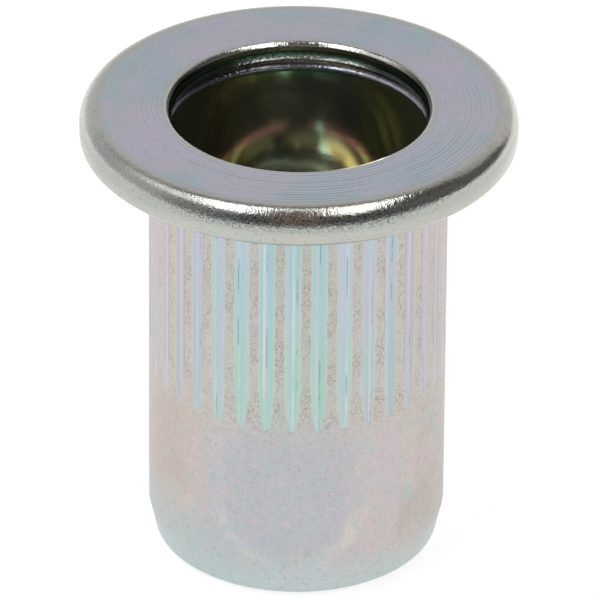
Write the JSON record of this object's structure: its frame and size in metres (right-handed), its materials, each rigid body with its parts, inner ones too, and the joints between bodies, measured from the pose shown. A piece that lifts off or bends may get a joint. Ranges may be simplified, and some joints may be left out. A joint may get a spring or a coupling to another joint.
{
  "type": "rivet nut",
  "caption": "Open-end blind rivet nut with a flat round flange, a thin-walled shank with pressed anti-rotation splines, and a threaded lower barrel.",
  "frame": {"origin": "on the axis, in the plane of the flange's underside, which seats on the panel", "axes": "+Z runs along the axis, out of the mouth that the screw enters by; +X passes through the middle of a spline groove"},
  "size_m": [0.016, 0.016, 0.0178],
  "materials": {
    "zinc_plated_steel": "bright zinc plate with a faint rainbow passivation, satin"
  },
  "bodies": {
    "root": {"rivet_nut": "zinc_plated_steel"}
  },
  "joints": []
}
